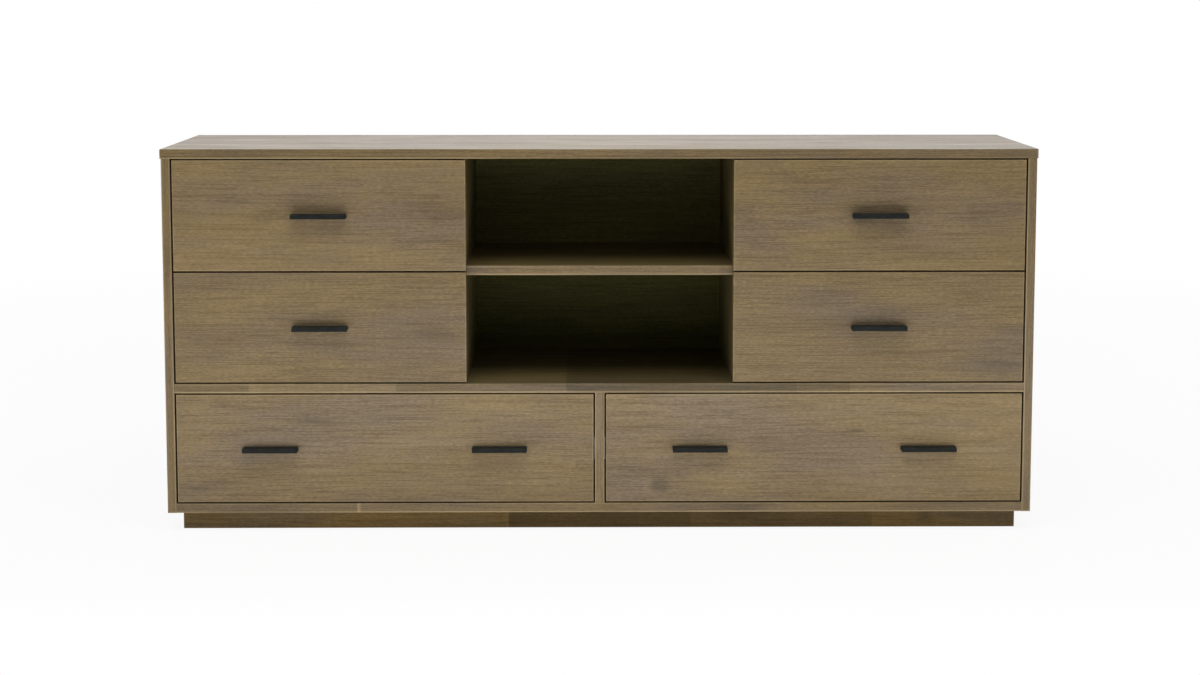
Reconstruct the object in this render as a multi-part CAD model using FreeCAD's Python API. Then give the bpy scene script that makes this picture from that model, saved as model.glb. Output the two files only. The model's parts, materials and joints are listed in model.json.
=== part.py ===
import FreeCAD, Part
import os

# Low chest of drawers: four small drawers beside an open bay, two wide drawers below.
# Millimetres. +X to the right seen from the front, +Y to the back, +Z up.
# The origin lies on the floor, in the middle of the case.

# Overall sizes
overall_width = 1829.0
overall_depth = 457.0
plinth_height = 40.0
lower_opening_height = 236.0
upper_opening_height = 474.0
bay_width = 560.0

# Boards
board = 20.0
side_board = 19.0
top_overhang = 2.0
back_thickness = 6.0
back_inset = 2.0
edge_radius = 1.2

# Case joinery
housing_depth = 6.0
housing_stop = 12.0
tongue_thickness = 9.0
rabbet_depth = 8.0
end_clearance = 0.3

# Plinth
plinth_setback = 28.0
plinth_board = 20.0
plinth_tongue = 6.0

# Drawer fronts and the gaps round them
front_thickness = 20.0
front_gap = 3.0
stack_gap = 3.5
partition_setback = 1.5

# Drawer boxes
box_board = 15.0
box_rise = 24.0
box_headroom = 36.0
bottom_thickness = 6.0
bottom_rise = 10.0
groove_depth = 5.0
tail_pitch = 44.0
tail_share = 0.55
dovetail_slope = 8.0

# Telescopic slides, measured across from the case wall and up and down from their middle
slide_step = 50.0
slide_setback = 3.0
slide_back_room = 20.0
slide_steel = 1.2
slide_bend = 0.8
slide_width = 12.7
slide_half_height = 22.5
race_height = 3.9
race_clearance = 0.3
lip_share = 0.6
web_gap = 1.8
flange_gap = 1.4
member_gap = 0.9
lip_step = 0.8
cage_side_gap = 0.6
cage_share = 0.3
cage_margin = 20.0

# Pulls
pull_length = 115.0
pull_projection = 28.0
pull_height = 9.0
pull_plate = 3.0
pull_wall = 4.0
pull_foot = 6.0
pull_chamfer = 0.8
lower_pull_inset = 198.0

# Derived positions of the case
half_case = overall_width / 2 - top_overhang
half_inside = half_case - side_board
half_bay = bay_width / 2
front_y = -overall_depth / 2
back_y = overall_depth / 2
back_face_y = back_y - back_inset - back_thickness
bottom_low = plinth_height
bottom_high = bottom_low + board
deck_low = bottom_high + lower_opening_height
deck_high = deck_low + board
top_low = deck_high + upper_opening_height
top_high = top_low + board
partition_front_y = front_y + front_thickness + partition_setback
shelf_low = (deck_high + top_low - board) / 2
shelf_high = shelf_low + board

# Derived lengths and heights of the slides, which come in whole steps
slide_front_y = front_y + front_thickness + slide_setback
slide_length = slide_step * ((back_face_y - slide_back_room - slide_front_y) // slide_step)
slide_back_y = slide_front_y + slide_length
member_back_y = slide_back_y - slide_steel - end_clearance
race_pitch = slide_steel + race_height + 2 * race_clearance
middle_half_height = slide_half_height - race_pitch
inner_half_height = middle_half_height - race_pitch
slide_lip = slide_steel + race_height * lip_share

# Derived reaches of the slide members across the slide
middle_start = slide_steel + web_gap
middle_reach = slide_width - slide_steel - member_gap
outer_reach = middle_reach - lip_step
inner_start = middle_start + slide_steel + flange_gap
cage_back_y = member_back_y - cage_margin
cage_front_y = cage_back_y - slide_length * cage_share

os.makedirs("parts", exist_ok=True)


def point(x, y, z):
    return FreeCAD.Vector(x, y, z)


def at(value, target):
    return abs(value - target) < 0.01


def block(x_low, x_high, y_low, y_high, z_low, z_high):
    """Straight board between two corners."""
    corner = point(x_low, y_low, z_low)
    return Part.makeBox(x_high - x_low, y_high - y_low, z_high - z_low, corner)


def outline(corners):
    return Part.makePolygon(corners + corners[:1])


def extrude(corners, travel):
    """Closed outline through the corners, pushed along the travel."""
    return Part.Face(outline(corners)).extrude(travel)


def mirrored(half):
    """Second half of an outline, the first one turned over its axis."""
    return [(across, -up) for across, up in reversed(half)]


def ease(shape, wanted):
    """Rounds the straight edges that the test picks by their two end points."""
    edges = []
    for edge in shape.Edges:
        start, end = [vertex.Point for vertex in edge.Vertexes]
        if wanted(start, end):
            edges.append(edge)
    return shape.makeFillet(edge_radius, edges)


def save(name, solids):
    """One file for each node, a single solid or a group of like solids."""
    shape = solids[0] if len(solids) == 1 else Part.makeCompound(solids)
    shape.exportStep("parts/" + name + ".step")


def lying_board(half_span, y_front, y_back, z_low, z_high):
    """Board with a tongue at each end, stopped behind its front edge, which is eased."""
    reach = half_span + housing_depth - end_clearance
    step = y_front + housing_stop
    right = [(half_span, y_front), (half_span, step), (reach, step), (reach, y_back)]
    left = [(-x, y) for x, y in reversed(right)]
    corners = [point(x, y, z_low) for x, y in right + left]
    plain = extrude(corners, point(0, 0, z_high - z_low))

    def front_edge(start, end):
        return at(start.y, y_front) and at(end.y, y_front) and at(start.z, end.z)

    return ease(plain, front_edge)


def standing_board(x_low, x_high, y_front, z_low, z_high):
    """Partition with a tongue above and below, stopped behind its front edge, which is eased."""
    middle_z = (z_low + z_high) / 2
    half = z_high - middle_z
    reach = half + housing_depth - end_clearance
    step = y_front + housing_stop
    upper = [(y_front, half), (step, half), (step, reach), (back_face_y, reach)]
    corners = [point(x_low, y, middle_z + z) for y, z in upper + mirrored(upper)]
    plain = extrude(corners, point(x_high - x_low, 0, 0))

    def front_edge(start, end):
        return at(start.y, y_front) and at(end.y, y_front) and at(start.x, end.x)

    return ease(plain, front_edge)


def housing_across(face_x, into, y_front, y_back, z_low, z_high):
    """Stopped housing for a lying board, cut into the face of an upright."""
    x_low, x_high = sorted([face_x, face_x + into * housing_depth])
    y_stop = y_front + housing_stop - end_clearance
    return block(x_low, x_high, y_stop, y_back, z_low, z_high)


def housing_along(x_low, x_high, y_front, face_z, into):
    """Stopped housing for an upright, cut into the face of a lying board."""
    z_low, z_high = sorted([face_z, face_z + into * housing_depth])
    y_stop = y_front + housing_stop - end_clearance
    return block(x_low, x_high, y_stop, back_face_y, z_low, z_high)


# Back panel, and the rabbet that takes it in top, sides and bottom
back_half = half_inside + rabbet_depth
back_low = bottom_high - rabbet_depth
back_high = top_low + rabbet_depth
back_rabbet = block(-back_half, back_half, back_face_y, back_y, back_low, back_high)
back_panel = block(
    end_clearance - back_half, back_half - end_clearance,
    back_face_y, back_face_y + back_thickness,
    back_low + end_clearance, back_high - end_clearance,
)
save("back_panel", [back_panel])

# Uprights beside the bay and between the lower drawers
bay_uprights = {"left": (-half_bay - board, -half_bay), "right": (half_bay, half_bay + board)}
middle_upright = (-board / 2, board / 2)

# Top panel, grooved for the tongues of the sides and of the two partitions
tongue_outside = half_inside + tongue_thickness
top_panel = block(-overall_width / 2, overall_width / 2, front_y, back_y, top_low, top_high)
for hand in (-1, 1):
    x_low, x_high = sorted([hand * half_inside, hand * tongue_outside])
    top_panel = top_panel.cut(housing_along(x_low, x_high, front_y, top_low, 1))
for x_low, x_high in bay_uprights.values():
    top_panel = top_panel.cut(housing_along(x_low, x_high, partition_front_y, top_low, 1))
top_panel = top_panel.cut(back_rabbet)


def top_outside(start, end):
    """Edges round the upper face, and the lower edge in front."""
    upper = at(start.z, top_high) and at(end.z, top_high)
    in_front = at(start.y, front_y) and at(end.y, front_y)
    return upper or (in_front and at(start.z, top_low) and at(end.z, top_low))


save("top_panel", [ease(top_panel, top_outside)])


def side_front_edge(start, end):
    return at(start.y, front_y) and at(end.y, front_y) and at(start.x, end.x)


# Side panels, each with a barefaced tongue that enters the top
for name, hand in (("left", -1), ("right", 1)):
    x_low, x_high = sorted([hand * half_inside, hand * half_case])
    panel = block(x_low, x_high, front_y, back_y, bottom_low, top_low)
    panel = ease(panel, side_front_edge)
    tongue_low, tongue_high = sorted([hand * half_inside, hand * tongue_outside])
    tongue = block(
        tongue_low, tongue_high,
        front_y + housing_stop, back_face_y,
        top_low, top_low + housing_depth - end_clearance,
    )
    panel = panel.fuse(tongue).removeSplitter()
    face_x = hand * half_inside
    panel = panel.cut(housing_across(face_x, hand, front_y, back_y, bottom_low, bottom_high))
    panel = panel.cut(housing_across(face_x, hand, front_y, back_face_y, deck_low, deck_high))
    save("side_panel_" + name, [panel.cut(back_rabbet)])

# Bottom and deck, grooved for the uprights that stand on them or hang below
bottom_panel = lying_board(half_inside, front_y, back_y, bottom_low, bottom_high)
bottom_panel = bottom_panel.cut(housing_along(*middle_upright, front_y, bottom_high, -1))
save("bottom_panel", [bottom_panel.cut(back_rabbet)])
deck_panel = lying_board(half_inside, front_y, back_face_y, deck_low, deck_high)
deck_panel = deck_panel.cut(housing_along(*middle_upright, front_y, deck_low, 1))
for x_low, x_high in bay_uprights.values():
    deck_panel = deck_panel.cut(housing_along(x_low, x_high, partition_front_y, deck_high, -1))
save("deck_panel", [deck_panel])

# Uprights, and the shelf between the two upper ones
save("partition_lower", [standing_board(*middle_upright, front_y, bottom_high, deck_low)])
for name, hand in (("left", -1), ("right", 1)):
    upright = standing_board(*bay_uprights[name], partition_front_y, deck_high, top_low)
    shelf_housing = housing_across(
        hand * half_bay, hand, partition_front_y, back_face_y, shelf_low, shelf_high
    )
    save("partition_upper_" + name, [upright.cut(shelf_housing)])
shelf = lying_board(half_bay, partition_front_y, back_face_y, shelf_low, shelf_high)
save("shelf", [shelf])

# Plinth: long rails in front and behind, ends and a brace tongued between them
plinth_half = half_case - plinth_setback
plinth_face = back_y - plinth_setback
rail_inside = plinth_face - plinth_board
tongue_inset = plinth_board / 4
cross_rails = {
    "plinth_end_left": plinth_board / 2 - plinth_half,
    "plinth_end_right": plinth_half - plinth_board / 2,
    "plinth_brace": 0.0,
}


def cross_plan(middle_x, tongue_reach):
    """Outline of a cross rail from above, a narrower tongue at each of its ends."""
    half = plinth_board / 2
    narrow = half - tongue_inset
    tip = rail_inside + tongue_reach
    back = [(half, rail_inside), (narrow, rail_inside), (narrow, tip)]
    back += [(-x, y) for x, y in reversed(back)]
    front = [(-x, -y) for x, y in back]
    return [point(middle_x + x, y, 0) for x, y in back + front]


upward = point(0, 0, plinth_height)
mortises = []
for name, middle_x in cross_rails.items():
    save(name, [extrude(cross_plan(middle_x, plinth_tongue - end_clearance), upward)])
    mortises.append(extrude(cross_plan(middle_x, plinth_tongue), upward))


def rail_outside(start, end):
    """Upright outer corners and the foot of a rail's outer face."""
    on_face = at(abs(start.y), plinth_face) and at(abs(end.y), plinth_face)
    corner = at(abs(start.x), plinth_half) and at(start.x, end.x)
    foot = at(start.z, 0) and at(end.z, 0)
    return on_face and (corner or foot)


for name, hand in (("front", -1), ("back", 1)):
    y_low, y_high = sorted([hand * rail_inside, hand * plinth_face])
    rail = block(-plinth_half, plinth_half, y_low, y_high, 0, plinth_height)
    rail = ease(rail, rail_outside).cut(mortises)
    save("plinth_" + name + "_rail", [rail])


def lipped_channel(start, reach, half_height):
    """Bent C-shaped outline open away from the case wall, its flanges turned in by a lip."""
    under = half_height - slide_steel
    lip_end = half_height - slide_lip
    web_inside = start + slide_steel
    lip_inside = reach - slide_steel
    inside_bend = slide_bend / 2
    upper = [
        (start, half_height - slide_bend), (start + slide_bend, half_height),
        (reach - slide_bend, half_height), (reach, half_height - slide_bend),
        (reach, lip_end), (lip_inside, lip_end),
        (lip_inside, under - inside_bend), (lip_inside - inside_bend, under),
        (web_inside + inside_bend, under), (web_inside, under - inside_bend),
    ]
    return upper + mirrored(upper)


def plain_channel(start, reach, half_height):
    """Bent C-shaped outline with its web on the drawer, open towards the case wall."""
    under = half_height - slide_steel
    web_inside = reach - slide_steel
    inside_bend = slide_bend / 2
    upper = [
        (reach, half_height - slide_bend), (reach - slide_bend, half_height),
        (start, half_height), (start, under),
        (web_inside - inside_bend, under), (web_inside, under - inside_bend),
    ]
    return upper + mirrored(upper)


def cage(x_low, x_high, inner_height):
    """Outline of the ball cage in the upper race outside a member of that half height."""
    z_low = inner_height + race_clearance
    z_high = z_low + race_height
    return [(x_low, z_low), (x_high, z_low), (x_high, z_high), (x_low, z_high)]


outer_profile = lipped_channel(0, outer_reach, slide_half_height)
middle_profile = lipped_channel(middle_start, middle_reach, middle_half_height)
inner_profile = plain_channel(inner_start, slide_width, inner_half_height)
stop_profile = [(0, inner_half_height), (outer_reach, inner_half_height)]
stop_profile += mirrored(stop_profile)
outer_cage = cage(
    middle_start + cage_side_gap, outer_reach - slide_steel - cage_side_gap, middle_half_height
)
inner_cage = cage(
    inner_start + cage_side_gap, middle_reach - slide_steel - cage_side_gap, inner_half_height
)


def slide_piece(profile, wall_x, hand, middle_z, y_low, y_high):
    """Outline of offsets from the case wall and the slide's middle, pushed along the slide."""
    corners = [point(wall_x + hand * x, y_low, middle_z + z) for x, z in profile]
    return extrude(corners, point(0, y_high - y_low, 0))


def case_member(wall_x, hand, middle_z):
    """Member on the case wall, its rear end turned in as a stop for the other two."""
    channel = slide_piece(outer_profile, wall_x, hand, middle_z, slide_front_y, slide_back_y)
    stop_front_y = slide_back_y - slide_steel
    stop = slide_piece(stop_profile, wall_x, hand, middle_z, stop_front_y, slide_back_y)
    return channel.fuse(stop).removeSplitter()


def moving_member(profile, wall_x, hand, middle_z):
    return slide_piece(profile, wall_x, hand, middle_z, slide_front_y, member_back_y)


def cage_pair(profile, wall_x, hand, middle_z):
    """Cages in the upper and the lower race, near the rear of the member that carries them."""
    return [
        slide_piece(half, wall_x, hand, middle_z, cage_front_y, cage_back_y)
        for half in (profile, mirrored(profile))
    ]


def dovetailed_side(x_low, y_low, y_high, z_low, height):
    """Box side with tails cut at both ends, one outline seen from the side."""
    tails = max(2, round(height / tail_pitch))
    pitch = height / tails
    narrow = pitch * tail_share / 2
    wide = narrow + box_board / dovetail_slope
    shoulder = y_low + box_board
    front_end = [(shoulder, 0)]
    for index in range(tails):
        middle = (index + 0.5) * pitch
        front_end += [(shoulder, middle - narrow), (y_low, middle - wide)]
        front_end += [(y_low, middle + wide), (shoulder, middle + narrow)]
    front_end.append((shoulder, height))
    back_end = [(y_low + y_high - y, z) for y, z in reversed(front_end)]
    corners = [point(x_low, y, z_low + z) for y, z in front_end + back_end]
    return extrude(corners, point(box_board, 0, 0))


def lip_pull(middle_x, middle_z):
    """Flat bar with chamfered arrises and a pocket for the fingertips in its underside."""
    low = middle_z - pull_height / 2
    high = middle_z + pull_height / 2
    left = middle_x - pull_length / 2
    right = middle_x + pull_length / 2
    nose_y = front_y - pull_projection
    section = [
        (front_y, low), (front_y, high),
        (nose_y + pull_chamfer, high), (nose_y, high - pull_chamfer),
        (nose_y, low + pull_chamfer), (nose_y + pull_chamfer, low),
    ]
    bar = extrude([point(left, y, z) for y, z in section], point(pull_length, 0, 0))
    pocket = block(
        left + pull_wall, right - pull_wall,
        nose_y + pull_wall, front_y - pull_foot,
        low, high - pull_plate,
    )
    return bar.cut(pocket)


def drawer(name, front_span, wall_span, z_span, pulls):
    """Saves one drawer's pieces and returns the slide members that stay on the case."""
    front_left, front_right = front_span
    front_low, front_high = z_span
    box_front = front_y + front_thickness
    box_back = box_front + slide_length
    box_left = wall_span[0] + slide_width
    box_right = wall_span[1] - slide_width
    box_low = front_low + box_rise
    box_high = front_high - box_headroom

    face = block(front_left, front_right, front_y, box_front, front_low, front_high)

    def face_edge(start, end):
        return at(start.y, front_y) and at(end.y, front_y)

    save(name + "_front", [ease(face, face_edge)])
    for pull_name, pull_x in pulls:
        save(name + "_" + pull_name, [lip_pull(pull_x, (front_low + front_high) / 2)])

    # The bottom lies in a groove that runs round all four boards
    def bottom_board(inset):
        return block(
            box_left + inset, box_right - inset,
            box_front + inset, box_back - inset,
            box_low + bottom_rise, box_low + bottom_rise + bottom_thickness,
        )

    groove_inset = box_board - groove_depth
    groove = bottom_board(groove_inset)
    save(name + "_bottom", [bottom_board(groove_inset + end_clearance)])

    sides = []
    for x_low in (box_left, box_right - box_board):
        sides.append(dovetailed_side(x_low, box_front, box_back, box_low, box_high - box_low))
    ends = []
    for y_low in (box_front, box_back - box_board):
        end = block(box_left, box_right, y_low, y_low + box_board, box_low, box_high)
        ends.append(end.cut(sides + [groove]).Solids[0])

    def upper_edge(start, end):
        return at(start.z, box_high) and at(end.z, box_high) and at(start.x, end.x)

    save(name + "_box_ends", ends)
    save(name + "_box_sides", [ease(side.cut(groove).Solids[0], upper_edge) for side in sides])

    slide_z = (box_low + box_high) / 2
    outer_members = []
    middle_members = []
    inner_members = []
    for wall_x, hand in zip(wall_span, (1, -1)):
        place = (wall_x, hand, slide_z)
        outer_members.append(case_member(*place))
        middle_members.append(moving_member(middle_profile, *place))
        middle_members += cage_pair(outer_cage, *place)
        inner_members.append(moving_member(inner_profile, *place))
        inner_members += cage_pair(inner_cage, *place)
    save(name + "_slide_middle", middle_members)
    save(name + "_slide_inner", inner_members)
    return outer_members


# Upper drawers reach over the front edge of their partition, up to the bay
upper_front_height = (upper_opening_height - 2 * front_gap - stack_gap) / 2
upper_rows = {
    "middle": deck_high + front_gap,
    "upper": deck_high + front_gap + upper_front_height + stack_gap,
}
half_fronts = half_inside - front_gap
case_members = []
for hand_name, hand in (("left", -1), ("right", 1)):
    front_span = sorted([hand * half_fronts, hand * half_bay])
    wall_span = sorted([hand * half_inside, hand * (half_bay + board)])
    pulls = [("pull", sum(front_span) / 2)]
    for row, z_low in upper_rows.items():
        z_span = (z_low, z_low + upper_front_height)
        name = "drawer_" + row + "_" + hand_name
        case_members += drawer(name, front_span, wall_span, z_span, pulls)

# Lower drawers stand beside the lower partition and have two pulls each
lower_z_span = (bottom_high + front_gap, deck_low - front_gap)
for hand_name, hand in (("left", -1), ("right", 1)):
    front_span = sorted([hand * half_fronts, hand * (board / 2 + front_gap)])
    wall_span = sorted([hand * half_inside, hand * board / 2])
    pulls = [
        ("pull_left", front_span[0] + lower_pull_inset),
        ("pull_right", front_span[1] - lower_pull_inset),
    ]
    name = "drawer_lower_" + hand_name
    case_members += drawer(name, front_span, wall_span, lower_z_span, pulls)

save("slide_case_members", case_members)
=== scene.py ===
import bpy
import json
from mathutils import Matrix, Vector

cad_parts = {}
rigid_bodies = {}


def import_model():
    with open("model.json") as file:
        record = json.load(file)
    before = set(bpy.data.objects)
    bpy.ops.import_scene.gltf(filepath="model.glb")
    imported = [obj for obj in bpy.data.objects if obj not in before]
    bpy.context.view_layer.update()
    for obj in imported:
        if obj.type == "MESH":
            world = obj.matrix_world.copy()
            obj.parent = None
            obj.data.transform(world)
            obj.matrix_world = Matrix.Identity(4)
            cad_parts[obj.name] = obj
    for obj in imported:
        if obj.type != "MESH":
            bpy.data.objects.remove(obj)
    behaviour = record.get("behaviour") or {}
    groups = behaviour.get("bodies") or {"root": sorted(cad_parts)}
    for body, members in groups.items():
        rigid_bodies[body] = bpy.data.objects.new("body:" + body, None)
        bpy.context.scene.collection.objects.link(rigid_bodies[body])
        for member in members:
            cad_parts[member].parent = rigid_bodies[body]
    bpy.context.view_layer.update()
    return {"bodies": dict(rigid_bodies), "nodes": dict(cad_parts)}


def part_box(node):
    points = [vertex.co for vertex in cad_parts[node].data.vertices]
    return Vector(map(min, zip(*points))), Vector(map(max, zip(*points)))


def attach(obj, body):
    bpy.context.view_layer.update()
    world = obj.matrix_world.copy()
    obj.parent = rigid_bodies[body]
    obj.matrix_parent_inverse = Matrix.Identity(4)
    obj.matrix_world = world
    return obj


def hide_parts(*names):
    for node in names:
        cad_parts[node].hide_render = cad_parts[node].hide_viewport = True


bl_info = {
    "name": "Chest of drawers",
    "version": (1, 0, 0),
    "blender": (4, 5, 0),
    "location": "View3D > Sidebar > Chest of drawers",
    "description": "Gives the packed chest of drawers its wood, metal and fixings",
    "category": "Object",
}

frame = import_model()

import json
import math

import bmesh
import bpy
from mathutils import Vector

DRAWERS = [
    name for name in frame["bodies"]
    if name.startswith("drawer_") and not name.endswith("_middle")]
PULLS = [name for name in frame["nodes"] if "_pull" in name]

# All lengths are in metres.

# Boards glued up from short staves: where each stave starts along X, and its tone
PLINTH_STAVES = ((-0.884, 0.97), (-0.580, 0.92), (-0.195, 0.48), (0.190, 0.61), (0.575, 0.8))
PLINTH_CROSSWISE = ("plinth_end_left", "plinth_end_right", "plinth_brace")
LYING_STAVES = {
    "top_panel": ((-0.914, 0.79), (-0.35, 0.84), (0.2, 0.8)),
    "deck_panel": (
        (-0.899, 0.66), (-0.74, 0.95), (-0.43, 0.7), (-0.075, 0.45), (0.41, 0.58), (0.52, 0.85)),
    "bottom_panel": (
        (-0.899, 0.82), (-0.5138, 1.35), (-0.5114, 0.86), (0.1, 0.9), (0.55, 0.84)),
    "shelf": ((-0.286, 0.84), (0.05, 0.8)),
}

# Tones of the other boards
SIDE_TONE = 0.84
FRONT_TONES = {
    "drawer_upper_left_front": 1.0,
    "drawer_upper_right_front": 0.91,
    "drawer_middle_left_front": 0.87,
    "drawer_middle_right_front": 0.82,
    "drawer_lower_left_front": 0.95,
    "drawer_lower_right_front": 1.02,
}

# Painted shade: colours that darken the faces inside the case, where the gaps and the open bays
# are in shade
PAINTED_GAP_SHADE = (0.3, 0.28, 0.25)
PAINTED_EDGE_SHADE = (0.5, 0.48, 0.45)
PAINTED_WALL_SHADE = (0.48, 0.55, 0.41)
PAINTED_BACK_SHADE = (0.4, 0.58, 0.19)
# Painted light: the back panel's inside is painted lighter above the shelf
PAINTED_UPPER_BACK_LIGHT = (0.92, 1.33, 0.75)
PAINTED_LYING_SHADES = {
    "top_panel": (0.95, 0.95, 0.9),
    "deck_panel": (0.88, 0.93, 0.75),
    "bottom_panel": PAINTED_GAP_SHADE,
    "shelf": (0.65, 0.69, 0.55),
}
# Depth under an inner face where the painted shade starts, and where it is full
SKIN_OUT, SKIN_IN = 0.0012, 0.0002
# The same behind a front edge
EDGE_OUT, EDGE_IN = 0.0016, 0.005

# Gloss of the stained boards
BOARD_GLOSS = 0.2
TOP_GLOSS = 0.19

# Pale arrises, partly wear and partly a painted highlight: how far they reach; a lying board
# keeps less of it above its lower arris
ARRIS_REACH = 0.004
WIDE_ARRISES = {"shelf": 0.0065, "deck_panel": 0.006}
LYING_BOARD = 0.05
LOWER_ARRIS, ABOVE_ARRIS = 0.004, 0.008
UPPER_ARRIS_SHARE = 0.3

# Darker marks in the wood: middle along X and Z, half length, half height
MARKS = {
    "drawer_lower_right_front": ((0.127, 0.1, 0.026, 0.022), (0.54, 0.215, 0.03, 0.007)),
    "plinth_front_rail": ((0.694, 0.021, 0.03, 0.017),),
}
MARK_TINT = (0.6, 0.61, 0.64)
MARK_SHARE = 0.85
MARK_RAGGED = 1.2

# Noise behind each mask of the wood: stretch along and across the grain, detail, roughness
STRAIGHT_GRAIN = {
    "blotch": (2.6, 9.0, 3.0, 0.6),
    "cloud": (5.0, 15.0, 2.0, 0.5),
}
BENT_GRAIN = {
    "bands": (1.3, 60.0, 2.0, 0.55),
    "fibre": (7.0, 430.0, 3.0, 0.6),
    "fleck": (110.0, 460.0, 2.0, 0.6),
    "pores": (70.0, 1400.0, 2.0, 0.5),
}
# Slow wander that bends the grain: its stretch along and across, and how far it sways
GRAIN_WANDER = (1.6, 5.0)
GRAIN_SWAY = 0.016
# Layers of the stain in order: name, mask, where it starts and is full, share, tint
STAIN_LAYERS = (
    ("cloud", "cloud", 0.3, 0.7, 0.36, (0.72, 0.71, 0.68)),
    ("smudge", "cloud", 0.62, 0.76, 0.5, (0.68, 0.67, 0.66)),
    ("bands", "bands", 0.34, 0.7, 0.25, (0.78, 0.76, 0.74)),
    ("fibre", "fibre", 0.42, 0.68, 0.75, (0.6, 0.58, 0.54)),
    ("pale", "fleck", 0.5, 0.3, 0.42, (1.5, 1.47, 1.4)),
    ("fleck", "fleck", 0.46, 0.7, 0.42, (0.56, 0.54, 0.5)),
)

# Each board's own stretch of grain: step and range of its shift, and share of it on each axis
SHIFT_STEP, SHIFT_RANGE = 0.0371, 7.0
SHIFT_SHARES = (1.7, 0.37, 0.53)

# Growth rings of the box boards: place of the pith beside the board, distance of the rings, and
# their slow wander with its stretch, sway and drift
PITH_ACROSS, PITH_THROUGH = 0.09, -0.14
RING_PITCH = 0.0062
RING_WANDER = (2.2, 16.0)
RING_SWAY, RING_DRIFT = 0.012, 0.8

# Angles at which arrises are rounded and faces are shaded as smooth
BEVEL_ANGLE = math.radians(40)
SMOOTH_ANGLE = math.radians(35)
# Least part of a normal along an axis for a face that counts as an end, square or tilted
SQUARE_END, TILTED_END = 0.9, 0.7

# Screw head: shares of its radius (flat rim, middle of the top, dome, length and width of the
# cross) and of its rise (dome, rounded arris, height of the cutter)
HEAD_RIM, HEAD_MIDDLE, HEAD_DOME = 0.22, 0.1, 0.2
CROSS_LENGTH, CROSS_WIDTH = 1.15, 0.26
DOME_RISE, HEAD_ARRIS, CUTTER_RISE = 0.08, 0.3, 1.1
# Screws: distance from the box's corners, from its upper edge and from the back panel's edge,
# and places along a drawer member as shares of its length
CORNER_MARGIN = 0.045
UPPER_MARGIN = 0.03
BACK_MARGIN = 0.009
SLIDE_SHARES = (0.09, 0.5, 0.9)

# Release lever: place along the drawer member, straight part as a share of its length, rounded
# arris as a share of its steel, then the steps of its finger tab (run, bend, height kept) and of
# its tail (run, height kept)
LEVER_PLACE = 0.4
LEVER_STRAIGHT = 0.5
LEVER_ARRIS = 0.22
LEVER_TAB = ((0.15, 0.4, 1.0), (0.12, 0.9, 0.85), (0.08, 0.3, 0.6))
LEVER_TAIL = ((0.1, 0.7), (0.05, 0.5))

# Lamps: name, place, target, width, depth, power in watts
LAMPS = (
    ("key", (0.0, -2.0, 4.2), (0.0, -0.6, 0.0), 4.2, 2.4, 142.0),
    ("card", (0.0, -1.1, 0.15), (0.0, -0.2, 0.65), 3.4, 0.28, 7.2),
    ("low", (0.0, -0.72, 0.012), (0.0, -0.55, 0.65), 3.2, 0.6, 11.5),
    ("back", (0.0, 3.4, 2.6), (0.0, 0.2, 0.4), 4.0, 1.6, 50.0),
    ("left", (-3.4, 0.6, 0.8), (-0.9, 0.0, 0.45), 3.0, 1.4, 34.0),
    ("right", (3.4, 0.6, 0.8), (0.9, 0.0, 0.45), 3.0, 1.4, 34.0),
)
# World: light that it gives, and what it adds to be white where it is seen
WORLD_LIGHT, WORLD_SEEN = 0.16, 0.84
# Floor: share of white where it is seen, growing away from the chest and in front of it
FLOOR_RADIUS = 9.0
FLOOR_WHITE, FLOOR_WHITER = 0.91, 0.09
FAR_START, FAR_END = 1.6, 5.0
FRONT_START, FRONT_END = -0.6, -1.0

# Camera fitted to the photograph, which is 1200 pixels wide; angles in degrees
PHOTO_WIDTH = 1200.0
FOCAL_PIXELS = 2138.0
SENSOR_WIDTH = 36.0
CAMERA_PLACE = (-0.040, -4.665, 1.129)
CAMERA_PITCH, CAMERA_TURN = 5.946, -0.523
CAMERA_SHIFT = -0.10


def span(node):
    """Lowest and highest corner of a node."""
    low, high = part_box(node)
    return Vector(low), Vector(high)


class ChestSizes(bpy.types.PropertyGroup):
    """Sizes of the pieces that are added to the solids"""

    pull_wall: bpy.props.FloatProperty(
        name="Pull wall", description="Wall round the finger pocket of a pull",
        default=0.004, unit="LENGTH")
    pull_plate: bpy.props.FloatProperty(
        name="Pull plate", description="Thickness of a pull above its finger pocket",
        default=0.003, unit="LENGTH")
    pull_arris: bpy.props.FloatProperty(
        name="Pull arris", description="Radius of the rounded arrises of a pull",
        default=0.0009, unit="LENGTH")
    pull_holes: bpy.props.FloatProperty(
        name="Pull screws", description="Distance between the two screws of a pull",
        default=0.096, unit="LENGTH")
    box_board: bpy.props.FloatProperty(
        name="Box board", description="Thickness of the boards of a drawer box",
        default=0.015, unit="LENGTH")
    screw_head: bpy.props.FloatProperty(
        name="Screw head", description="Diameter of the screw heads",
        default=0.008, unit="LENGTH")
    screw_rise: bpy.props.FloatProperty(
        name="Screw rise", description="Height of the screw heads",
        default=0.0016, unit="LENGTH")
    slide_web: bpy.props.FloatProperty(
        name="Slide web", description="Depth from the outside of a drawer member to its screws",
        default=0.0059, unit="LENGTH")
    lever_length: bpy.props.FloatProperty(
        name="Lever length", description="Length of the release levers of the slides",
        default=0.044, unit="LENGTH")
    lever_height: bpy.props.FloatProperty(
        name="Lever height", description="Height of the release levers of the slides",
        default=0.0085, unit="LENGTH")
    lever_steel: bpy.props.FloatProperty(
        name="Lever steel", description="Thickness of the release levers of the slides",
        default=0.0016, unit="LENGTH")
    back_pitch: bpy.props.FloatProperty(
        name="Back screw pitch", description="Distance between the screws of the back panel",
        default=0.18, unit="LENGTH")


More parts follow.
